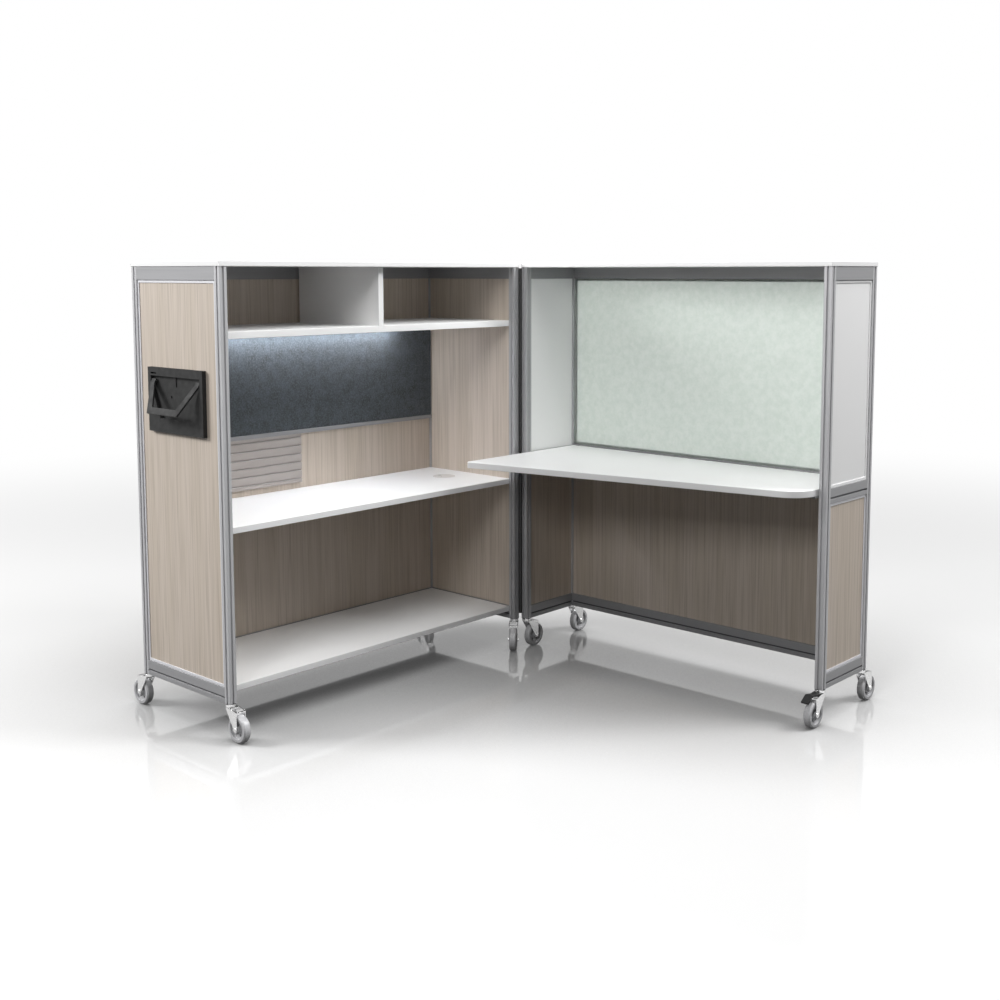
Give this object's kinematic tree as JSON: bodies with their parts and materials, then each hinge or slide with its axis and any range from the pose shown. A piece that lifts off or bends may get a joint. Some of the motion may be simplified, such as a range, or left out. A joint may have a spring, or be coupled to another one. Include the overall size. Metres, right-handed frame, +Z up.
{
  "type": "folding cubicle workstation",
  "caption": "Mobile fold-up cubicle workstation: hinged cabinets on casters with a desk, a wing worktop, shelves, a tackboard and frosted glass.",
  "frame": {"origin": "the middle of the part's bounding box, on the floor under the wheels, with the cabinets open at a right angle", "axes": "+Z up, +X along the right cabinet from the hinge to its outer end, -Y along the left cabinet from the hinge to its outer end; the left cabinet opens towards +X and the right one towards -Y"},
  "size_m": [2.0982, 1.9974, 1.668],
  "materials": {
    "frame_aluminium": "satin anodised extrusion",
    "bead_aluminium": "satin anodised bead",
    "oak_laminate": "matt pale oak laminate with upright grain",
    "white_board": "matt white laminate board",
    "frosted_glass": "etched, light green tint",
    "tackboard_cloth": "mottled charcoal felt",
    "slat_metal": "matt warm grey powder coat",
    "light_housing_metal": "satin white enamel",
    "light_diffuser": "opal diffuser",
    "bracket_steel": "satin grey powder coat",
    "grommet_plastic": "fine moulded grain",
    "black_plastic": "fine moulded grain",
    "pin_steel": "bright drawn bar",
    "black_steel": "satin black",
    "caster_steel": "bright zinc plate",
    "wheel_polyurethane": "grey moulded tread"
  },
  "bodies": {
    "left_cabinet": {"left_front_posts": "frame_aluminium", "left_rear_posts": "frame_aluminium", "left_end_rails": "frame_aluminium", "left_rear_rails": "frame_aluminium", "left_panel_beads": "bead_aluminium", "left_outer_panel": "oak_laminate", "left_hinge_panel": "oak_laminate", "left_back_panel": "oak_laminate", "left_lid": "white_board", "left_worktop": "white_board", "left_hinge_leaf": "black_steel", "tackboard_rail": "frame_aluminium", "overhead_shelf": "white_board", "bottom_shelf": "white_board", "shelf_divider": "white_board", "tackboard": "tackboard_cloth", "slat_panel": "slat_metal", "light_housing": "light_housing_metal", "light_lens": "light_diffuser", "grommet_ring": "grommet_plastic", "handle_plate": "black_plastic", "bail_pins": "pin_steel", "hinge_pin": "black_steel"},
    "right_cabinet": {"right_front_posts": "frame_aluminium", "right_rear_posts": "frame_aluminium", "right_end_rails": "frame_aluminium", "right_rear_rails": "frame_aluminium", "right_panel_beads": "bead_aluminium", "right_outer_lower_panel": "oak_laminate", "right_hinge_lower_panel": "oak_laminate", "right_back_panel": "oak_laminate", "right_lid": "white_board", "right_worktop": "white_board", "right_outer_upper_panel": "white_board", "right_hinge_upper_panel": "white_board", "right_worktop_brackets": "bracket_steel", "right_hinge_leaf": "black_steel", "glass_rail": "frame_aluminium", "frosted_glass": "frosted_glass"},
    "handle_bail": {"handle_bail": "black_plastic"},
    "grommet_cap": {"grommet_cap": "grommet_plastic"},
    "fork_left_front_outer": {"fork_left_front_outer": "caster_steel"},
    "wheel_left_front_outer": {"wheel_left_front_outer": "wheel_polyurethane"},
    "fork_left_rear_outer": {"fork_left_rear_outer": "caster_steel"},
    "wheel_left_rear_outer": {"wheel_left_rear_outer": "wheel_polyurethane"},
    "fork_left_front_hinge": {"fork_left_front_hinge": "caster_steel"},
    "wheel_left_front_hinge": {"wheel_left_front_hinge": "wheel_polyurethane"},
    "fork_left_rear_hinge": {"fork_left_rear_hinge": "caster_steel"},
    "wheel_left_rear_hinge": {"wheel_left_rear_hinge": "wheel_polyurethane"},
    "fork_right_front_outer": {"fork_right_front_outer": "caster_steel"},
    "wheel_right_front_outer": {"wheel_right_front_outer": "wheel_polyurethane"},
    "pedal_right_front_outer": {"pedal_right_front_outer": "black_plastic"},
    "fork_right_rear_outer": {"fork_right_rear_outer": "caster_steel"},
    "wheel_right_rear_outer": {"wheel_right_rear_outer": "wheel_polyurethane"},
    "fork_right_front_hinge": {"fork_right_front_hinge": "caster_steel"},
    "wheel_right_front_hinge": {"wheel_right_front_hinge": "wheel_polyurethane"},
    "fork_right_rear_hinge": {"fork_right_rear_hinge": "caster_steel"},
    "wheel_right_rear_hinge": {"wheel_right_rear_hinge": "wheel_polyurethane"}
  },
  "joints": [
    {"name": "cabinet_fold", "type": "hinge", "parent": "left_cabinet", "child": "right_cabinet", "pos_m": [-0.4134, 0.56804, 0.89], "axis": [0, 0, 1], "range_deg": [-90, 45]},
    {"name": "bail_swing", "type": "hinge", "parent": "left_cabinet", "child": "handle_bail", "pos_m": [-0.6936, -0.93556, 1.244], "axis": [-1, 0, 0], "range_deg": [-28, 62]},
    {"name": "grommet_cap_turn", "type": "hinge", "parent": "left_cabinet", "child": "grommet_cap", "pos_m": [-0.7111, 0.40204, 0.745], "axis": [0, 0, 1], "continuous": true},
    {"name": "swivel_left_front_outer", "type": "hinge", "parent": "left_cabinet", "child": "fork_left_front_outer", "pos_m": [-0.4361, -0.91696, 0.1297], "axis": [0, 0, 1], "continuous": true},
    {"name": "spin_left_front_outer", "type": "hinge", "parent": "fork_left_front_outer", "child": "wheel_left_front_outer", "pos_m": [-0.3881, -0.91696, 0.05], "axis": [0, 1, 0], "continuous": true},
    {"name": "swivel_left_rear_outer", "type": "hinge", "parent": "left_cabinet", "child": "fork_left_rear_outer", "pos_m": [-0.9511, -0.91696, 0.1297], "axis": [0, 0, 1], "continuous": true},
    {"name": "spin_left_rear_outer", "type": "hinge", "parent": "fork_left_rear_outer", "child": "wheel_left_rear_outer", "pos_m": [-0.9991, -0.91696, 0.05], "axis": [0, -1, 0], "continuous": true},
    {"name": "swivel_left_front_hinge", "type": "hinge", "parent": "left_cabinet", "child": "fork_left_front_hinge", "pos_m": [-0.4361, 0.55304, 0.1297], "axis": [0, 0, 1], "range_deg": [-175, 0]},
    {"name": "spin_left_front_hinge", "type": "hinge", "parent": "fork_left_front_hinge", "child": "wheel_left_front_hinge", "pos_m": [-0.40655, 0.51522, 0.05], "axis": [0.788, 0.6157, 0], "continuous": true},
    {"name": "swivel_left_rear_hinge", "type": "hinge", "parent": "left_cabinet", "child": "fork_left_rear_hinge", "pos_m": [-0.9511, 0.55304, 0.1297], "axis": [0, 0, 1], "continuous": true},
    {"name": "spin_left_rear_hinge", "type": "hinge", "parent": "fork_left_rear_hinge", "child": "wheel_left_rear_hinge", "pos_m": [-0.9991, 0.55304, 0.05], "axis": [0, -1, 0], "continuous": true},
    {"name": "swivel_right_front_outer", "type": "hinge", "parent": "right_cabinet", "child": "fork_right_front_outer", "pos_m": [1.0266, 0.59074, 0.1297], "axis": [0, 0, 1], "continuous": true},
    {"name": "spin_right_front_outer", "type": "hinge", "parent": "fork_right_front_outer", "child": "wheel_right_front_outer", "pos_m": [1.0266, 0.54274, 0.05], "axis": [1, 0, 0], "continuous": true},
    {"name": "brake_right_front_outer", "type": "hinge", "parent": "fork_right_front_outer", "child": "pedal_right_front_outer", "pos_m": [1.0266, 0.56474, 0.114], "axis": [1, 0, 0], "range_deg": [0, 7]},
    {"name": "swivel_right_rear_outer", "type": "hinge", "parent": "right_cabinet", "child": "fork_right_rear_outer", "pos_m": [1.0266, 0.90074, 0.1297], "axis": [0, 0, 1], "continuous": true},
    {"name": "spin_right_rear_outer", "type": "hinge", "parent": "fork_right_rear_outer", "child": "wheel_right_rear_outer", "pos_m": [1.0266, 0.94874, 0.05], "axis": [-1, 0, 0], "continuous": true},
    {"name": "swivel_right_front_hinge", "type": "hinge", "parent": "right_cabinet", "child": "fork_right_front_hinge", "pos_m": [-0.3984, 0.59074, 0.1297], "axis": [0, 0, 1], "range_deg": [-90, 45]},
    {"name": "spin_right_front_hinge", "type": "hinge", "parent": "fork_right_front_hinge", "child": "wheel_right_front_hinge", "pos_m": [-0.3984, 0.63874, 0.05], "axis": [-1, 0, 0], "continuous": true},
    {"name": "swivel_right_rear_hinge", "type": "hinge", "parent": "right_cabinet", "child": "fork_right_rear_hinge", "pos_m": [-0.3984, 0.90074, 0.1297], "axis": [0, 0, 1], "continuous": true},
    {"name": "spin_right_rear_hinge", "type": "hinge", "parent": "fork_right_rear_hinge", "child": "wheel_right_rear_hinge", "pos_m": [-0.3984, 0.94874, 0.05], "axis": [-1, 0, 0], "continuous": true}
  ]
}
